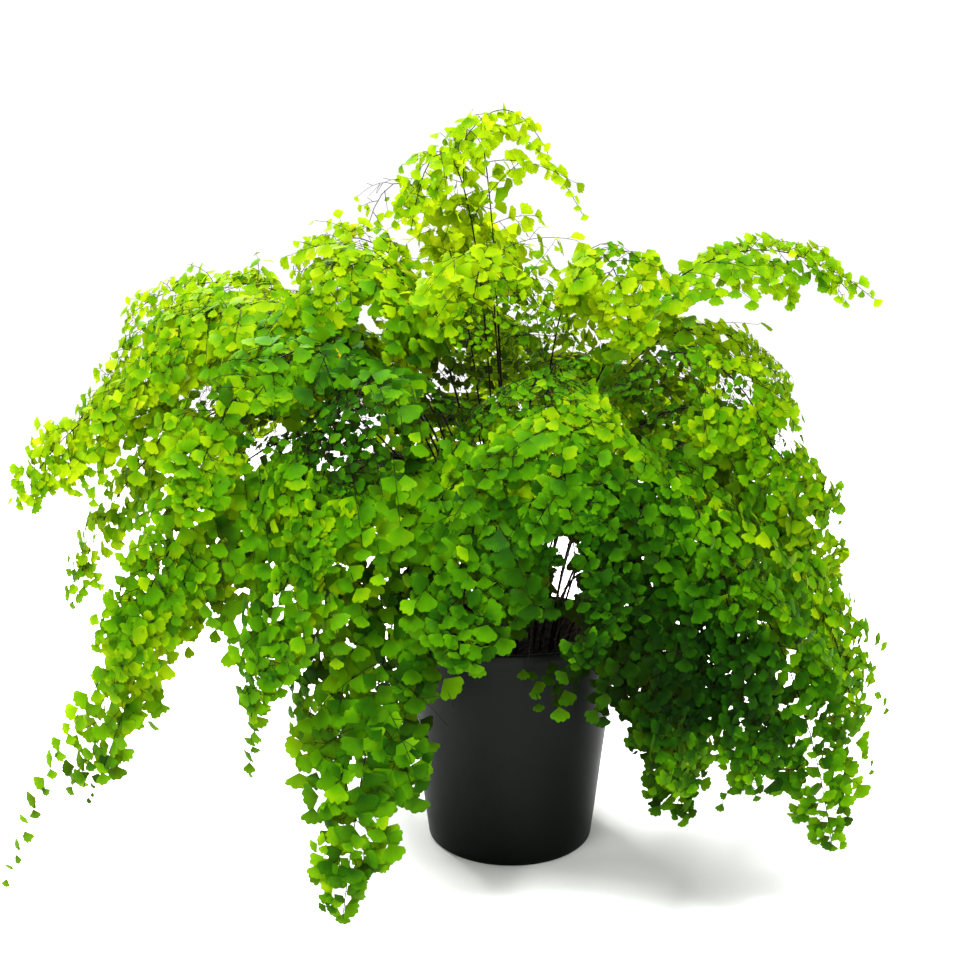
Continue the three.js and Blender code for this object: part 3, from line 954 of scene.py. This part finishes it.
class Leaflets:
    """Collects a frond's leaflets and wires while it grows."""

    def __init__(self, name, blade, rng):
        self.name = name
        self.blade = blade
        self.rng = rng
        self.open, self.size = HABITS.get(name, USUAL)
        self.wires = []
        self.leaves = []  # of each: foot, the ways that it points and faces, length and tint

    def leaflet(self, node, way, normal, hand, size, tint):
        """A leaflet on its stalk. Hand is its side of the branch: 1, -1, or 0 at the end."""
        rng = self.rng
        aside = np.cross(normal, way)
        turned = hand * aside * rng.uniform(0.6, 1.1)
        head = unit(0.6 * way + turned - 0.6 * UP + rng.normal(0, 0.22, 3))
        foot = node + head * size * HAIR_LENGTH + normal * 1.5
        size = size * rng.uniform(0.7, 1.2)
        standing = standing_share(foot)
        if rng.uniform() >= standing:
            return
        if standing < 1:
            size, tint = SHADE_SIZE * size, tint + SHADE_TINT
        face = unit(normal + 0.35 * self.blade.out + self.blade.look + rng.normal(0, 0.28, 3))
        ends = np.array([node, foot])
        self.wires.append((ends, np.array([normal, normal]), np.full(2, HAIR_RADIUS), 3))
        self.leaves.append((foot, head, face, size, tint))


print("a leaflet's own stalk is %.1f mm long" % (HAIR_LENGTH * USUAL[1]))

# %% [markdown]
# ## Growing: branches
# A frond branches twice. Side branches leave the middle rib, and short twigs leave those near the
# rib. Every branch bends forward along the blade and sags under its own weight.

# %% Twigs, branches and sprays
BRANCH_RADIUS = 0.28
TWIG_RADIUS = 0.24
TWIG_CHANCE = 0.4
BRANCH_STEP, SPRAY_STEP = 0.46, 0.42  # from leaflet to leaflet, as a share of a leaflet
SPRAY_LOOK = np.array([0.0, -1.2, 0.0])  # sprays turn to the viewer


class Branches(Leaflets):
    """Adds what carries the leaflets."""

    def twig(self, node, way, normal, hand, size, tint):
        """A short branch of a branch, with a pair of leaflets and one at its end."""
        rng = self.rng
        aside = np.cross(normal, way) * hand
        way = unit(way * rng.uniform(0.5, 0.9) + aside - 0.2 * UP + rng.normal(0, 0.15, 3))
        line = node + np.outer([0, 0.55, 1.1], way) * size - np.outer([0, 0.02, 0.09], UP) * size
        normals = np.array([normal] * 3)
        self.wires.append((line, normals, TWIG_RADIUS * np.array([1.0, 0.85, 0.65]), 3))
        self.leaflet(line[1], way, normal, 1, 0.85 * size, tint)
        self.leaflet(line[1], way, normal, -1, 0.85 * size, tint)
        self.leaflet(line[2], way, normal, 0, 0.8 * size, tint)

    def branch(self, s, side, reach, share):
        """A side branch of that reach, with few leaflets where the blade is narrow."""
        blade, rng = self.blade, self.rng
        size = self.size * np.interp(share, [0, 0.6, 1], [1, 0.92, 0.6]) * rng.uniform(0.88, 1.12)
        tint = 0.08 * share + rng.normal(0, 0.055)
        reach = reach * rng.uniform(0.62, 1.18)
        turned = np.radians(rng.uniform(48, 84))
        bend = np.radians(rng.uniform(5, 40))
        steps = max(int(reach / (BRANCH_STEP * size * self.open**0.5)), 1)
        lengths = np.linspace(0, max(reach - 0.7 * size, 1.0), steps + 1)
        angles = turned - bend * lengths / max(reach, 1)
        advance = np.concatenate([[0], np.cumsum(np.diff(lengths) * np.cos(angles[1:]))])
        aside = np.concatenate([[0], np.cumsum(np.diff(lengths) * np.sin(angles[1:]))])
        place, along, _, normal = blade.at(s + advance, side * aside)
        lift = rng.normal(1.5, 12.0) * (lengths / 60) ** 1.5
        sag = -rng.uniform(0.0005, 0.005) * lengths**2
        place = place + normal * lift[:, None] + UP * sag[:, None]
        ways = unit(np.gradient(place, axis=0))
        radii = BRANCH_RADIUS * (1 - 0.5 * lengths / (lengths[-1] + 1))
        self.wires.append((place, normal, radii, 4))
        over = place[0] + normal[0] * rng.uniform(1.5, 4)
        way = unit(along[0] + rng.normal(0, 0.3, 3))
        self.leaflet(over, way, normal[0], -side, size * 0.9, tint)
        hand = side
        for k in range(1, len(place) - 1):
            smaller = size * (1 - 0.22 * lengths[k] / reach)
            near = k < 0.6 * len(place)
            add = self.twig if near and rng.uniform() < TWIG_CHANCE else self.leaflet
            add(place[k], ways[k], normal[k], hand, smaller, tint)
            hand = -hand
        self.leaflet(place[-1], ways[-1], normal[-1], 0, size * 0.8, tint)

    def spray(self, s, tip, rise):
        """A long spray that arches to a tip of its own, with one row of leaflets on each hand."""
        root, _, _, normal = self.blade.at(s, 0.0)
        normal = unit(normal + SPRAY_LOOK)
        middle = (root + tip) / 2 + UP * rise
        count = max(int(np.linalg.norm(tip - root) / (SPRAY_STEP * self.size)), 3)
        u = np.linspace(0, 1, count + 1)[:, None]
        line = (1 - u) ** 2 * root + 2 * u * (1 - u) * middle + u**2 * tip
        ways = unit(np.gradient(line, axis=0))
        normals = np.array([normal] * len(line))
        radii = BRANCH_RADIUS * np.linspace(1.3, 0.8, len(line))
        self.wires.append((line, normals, radii, 4))
        for k in range(1, len(line)):
            size = self.size * (0.95 - 0.45 * k / len(line))
            hand = 0 if k == len(line) - 1 else 2 * (k % 2) - 1
            self.leaflet(line[k], ways[k], normal, hand, size, 0.05)


print("leaflets along a branch of 60 mm:", int(60 / (BRANCH_STEP * USUAL[1])))

# %% [markdown]
# ## Growing: a whole frond
# The stalk runs through the frond as its middle rib. Side branches leave it left and right in turn,
# closer together towards the tip. They are longest a little way above the lowest ones, and short at
# the tip.

# %% A whole frond
STEM_RADIUS = 0.95
STALK_DEPTH = 20.0  # how deep the stalk stands in the soil
OUTLINE = [0, 0.12, 0.45, 0.8, 1], [0.9, 1.45, 1.2, 0.6, 0.15]  # the blade's width along it


class Growth(Branches):
    """Grows a frond from its stalk to its tip."""

    def stem(self):
        blade = self.blade
        s = np.concatenate([[-STALK_DEPTH, 0], np.linspace(0, blade.length, 34)[1:]])
        place, _, _, normal = blade.at(s, 0.0)
        radius = STEM_RADIUS * (1 - 0.72 * np.clip(s / blade.length, 0, 1) ** 1.3)
        self.wires.append((place, normal, radius, 6))

    def grow(self):
        blade, rng = self.blade, self.rng
        self.stem()
        span = blade.length - blade.start
        spacing = 0.5 * self.size * self.open
        start = 2.0
        side = 1
        while start < span - 0.4 * self.size:
            share = start / span
            reach = blade.half_width * np.interp(share, *OUTLINE)
            self.branch(blade.start + start, side, reach, share)
            start += spacing * (1 - 0.35 * share) * rng.uniform(0.85, 1.15)
            side = -side
        for start, tip, rise in SPRAYS.get(self.name, []):
            self.spray(start * blade.length, np.array(tip, float), rise)
        place, along, _, normal = blade.at(blade.length - 2, 0.0)
        if standing_share(place) == 1:
            self.leaves.append((place, along - 0.3 * UP, normal, 0.5 * self.size, 0.08))


print("widest share of a blade:", max(OUTLINE[1]))

# %% [markdown]
# ## Wires
# Stalk, branches and leaflet stalks are all thin round wires. Each gets rings of points round its
# line and a cap at both ends, so that every wire is a closed body.

# %% Wires as tubes
def add_wire(points, faces, line, normal, radii, sides):
    way = unit(np.gradient(line, axis=0))
    across = unit(np.cross(way, normal))
    rise = np.cross(across, way)
    first = len(points)
    angles = np.arange(sides) / sides * 2 * np.pi
    for centre, a, b, radius in zip(line, across, rise, radii):
        ring = (centre + radius * (math.cos(t) * a + math.sin(t) * b) for t in angles)
        points.extend(point.tolist() for point in ring)
    for row in range(len(line) - 1):
        low = first + row * sides
        for i in range(sides):
            j = (i + 1) % sides
            faces.append((low + j, low + i, low + sides + i, low + sides + j))
    faces.append(tuple(first + i for i in range(sides)))
    faces.append(tuple(len(points) - 1 - i for i in range(sides)))


wire_points, wire_faces = [], []
add_wire(wire_points, wire_faces, np.outer([0, 1], UP), np.eye(3)[:1], [1, 1], 6)
print("a short wire has", len(wire_points), "points and", len(wire_faces), "faces")

# %% [markdown]
# ## Tone, painted light and painted shade
# Young leaflets near the frond's tip are pale yellow-green. Leaflets high in the plant are paler
# and those low down are darker green, partly from their age and partly as painted light from
# above. Leaflets towards the right get a little painted light, and those deep inside the plant are
# painted darker, as shade. On top of that rule, the photograph shows places that get more light,
# and pockets that lie in the shade. Each row here paints such a place: its centre, how far it
# reaches in x, y and z, and how much paler the leaflets there are.

# %% Places in light and shade
LIGHTING = [
    ((115, -60, 175), (75, 400, 50), -0.42),
    ((55, -80, 168), (45, 90, 46), -0.30),
    ((50, -150, 254), (38, 110, 60), -0.38),
    ((100, -150, 225), (50, 110, 50), -0.12),
    ((10, -170, 266), (36, 80, 45), -0.14),
    ((-38, -170, 235), (36, 80, 40), -0.14),
    ((20, -110, 155), (24, 30, 34), 0.42),
    ((100, -150, 140), (50, 180, 26), 0.26),
    ((-15, -40, 358), (60, 110, 26), 0.20),
    ((5, -40, 404), (36, 110, 30), 0.16),
    ((-40, -40, 452), (36, 110, 26), 0.16),
    ((-110, -190, 110), (60, 100, 90), 0.04),
    ((-240, -140, 150), (120, 160, 70), 0.16),
    ((-290, -60, 215), (60, 160, 60), 0.08),
    ((-90, -150, 330), (60, 120, 40), -0.06),
    ((-260, -60, 340), (120, 220, 90), 0.10),
    ((-108, -100, 378), (60, 120, 40), -0.20),
    ((-60, -100, 440), (160, 160, 45), 0.08),
    ((180, -100, 240), (80, 160, 70), 0.13),
    ((250, -60, 180), (50, 160, 120), 0.14),
    ((110, -40, 372), (90, 140, 60), 0.12),
    ((15, -170, 335), (60, 90, 45), 0.08),
    ((190, -10, 440), (70, 90, 40), -0.17),
    ((-40, 0, 500), (120, 120, 50), -0.08),
    ((-330, -60, 290), (60, 140, 50), 0.06),
]
print("places in light and shade:", len(LIGHTING))


# %% Tone of each leaflet, with painted light and shade
TONE_SPREAD = 0.07  # how much neighbours differ


def tone_and_shading_of(feet, tints, rng):
    x, y, z = feet[:, 0], feet[:, 1], feet[:, 2]
    height = np.clip((z - 60) / 480, 0, 1)
    core = np.sqrt((x / 330) ** 2 + (y / 240) ** 2 + ((z - 230) / 300) ** 2)
    # Height: partly young growth, partly painted light from above. x: painted light on the right.
    tone = 0.30 + 0.46 * height**1.4 + 0.04 * np.clip(x / 300, -0.5, 1)
    # Darker near the plant's middle: painted shade, where outer leaflets shade inner ones.
    tone = tone - 0.9 * np.clip(0.78 - core, 0, 1) + tints
    for centre, radii, paler in LIGHTING:
        offset = (feet - np.array(centre)) / np.array(radii)
        tone = tone + paler * np.exp(-np.sum(offset**2, axis=1))
    return np.clip(tone + rng.normal(0, TONE_SPREAD, len(feet)), 0.02, 1.0)


top_tone = tone_and_shading_of(np.array([[0, 0, 500]]), 0, np.random.default_rng(1))[0]
print("tone of a leaflet at the top: %.2f" % top_tone)

# %% [markdown]
# ## The fronds
# Each frond becomes one piece in place of its coarse solid. Its leaflets come first in the mesh and
# its wires after them, so the material and the attributes can be set by counting. A few leaflets
# have faded to yellow or brown.

# %% Make the fronds
FADED_SHARE = 0.0001
FIRST_SEED = 100


def store(mesh, name, values, rest):
    """Keeps one number for each point, and zero for the wires' points."""
    attribute = mesh.attributes.new(name, "FLOAT", "POINT")
    padded = np.concatenate([values, np.zeros(rest)])
    attribute.data.foreach_set("value", padded.astype(np.float32))


def make_frond(index, name, blade):
    rng = np.random.default_rng(FIRST_SEED + index)
    growth = Growth(name, blade, rng)
    growth.grow()
    feet, heads, normals, sizes, tints = map(np.array, zip(*growth.leaves))
    leaves = leaflet_points(feet, heads, normals, sizes, rng)
    count, corners = leaves.shape[:2]
    points = leaves.reshape(-1, 3).tolist()
    faces = []
    for first in range(0, count * corners, corners):
        faces.extend(tuple(first + corner for corner in face) for face in LEAF_FACES)
    leaf_faces = len(faces)
    for wire in growth.wires:
        add_wire(points, faces, *wire)
    looks = [fern_green, fern_stalk]
    frond = make_piece("fern_" + name, points, faces, looks, "fern_green", "frond_" + name)
    used = [0] * leaf_faces + [1] * (len(faces) - leaf_faces)
    frond.data.polygons.foreach_set("material_index", used)
    rest = len(points) - count * corners
    tones_and_shading = tone_and_shading_of(feet, tints, rng)
    faded = (rng.uniform(0, 1, count) < FADED_SHARE).astype(float)
    store(frond.data, "tone", np.repeat(tones_and_shading, corners), rest)
    store(frond.data, "faded", np.repeat(faded, corners), rest)
    store(frond.data, "across", np.tile(LEAF_ACROSS, count), rest)
    store(frond.data, "along", np.tile(LEAF_ALONG, count), rest)
    return count


leaflets = sum(make_frond(index, *row) for index, row in enumerate(blades.items()))
print("leaflets:", leaflets)

# %% [markdown]
# ## Floor and light
# The photograph is a cut-out on white, lit softly from the upper left and slightly from behind,
# which makes the top leaflets glow. A pale floor, a bright sky all round and two large lamps give
# that.

# %% Floor
FAR = 6000.0  # how far the floor reaches from the pot

finish = Finish("floor_white")
greys = finish.mix(finish.noise(3.0), colour(0.95, 0.95, 0.95), colour(0.97, 0.97, 0.97))
floor_white = finish.finish(finish.surface({"Base Color": greys, "Roughness": 0.9}))
corners = [(-FAR, -FAR, 0), (FAR, -FAR, 0), (FAR, FAR, 0), (-FAR, FAR, 0)]
floor = new_object("floor", corners, [(0, 1, 2, 3)])
floor.data.materials.append(floor_white)

# %% [markdown]
# The key lamp stands high in front, to the left of the camera, and the back lamp high behind on the
# left. Both are wide, so their shadows are soft.

# %% Lights
LAMP_SIZE = 0.8
SKY_STRENGTH = 1.05


def add_lamp(name, place, target, watts):
    lamp = bpy.data.objects.new(name, bpy.data.lights.new(name, "AREA"))
    lamp.data.size = LAMP_SIZE
    lamp.data.energy = watts
    lamp.location = place
    lamp.rotation_euler = (Vector(target) - Vector(place)).to_track_quat("-Z", "Y").to_euler()
    scene.collection.objects.link(lamp)


add_lamp("key", (-0.2, -1.0, 2.3), (0, 0, 0.3), 240)
add_lamp("back", (-0.9, 1.3, 1.9), (0, 0, 0.35), 150)

world = bpy.data.worlds.new("studio")
world.use_nodes = True
sky = world.node_tree.nodes["Background"].inputs
sky["Color"].default_value = colour(1, 1, 1)
sky["Strength"].default_value = SKY_STRENGTH
scene.world = world
scene.view_settings.view_transform = "Standard"
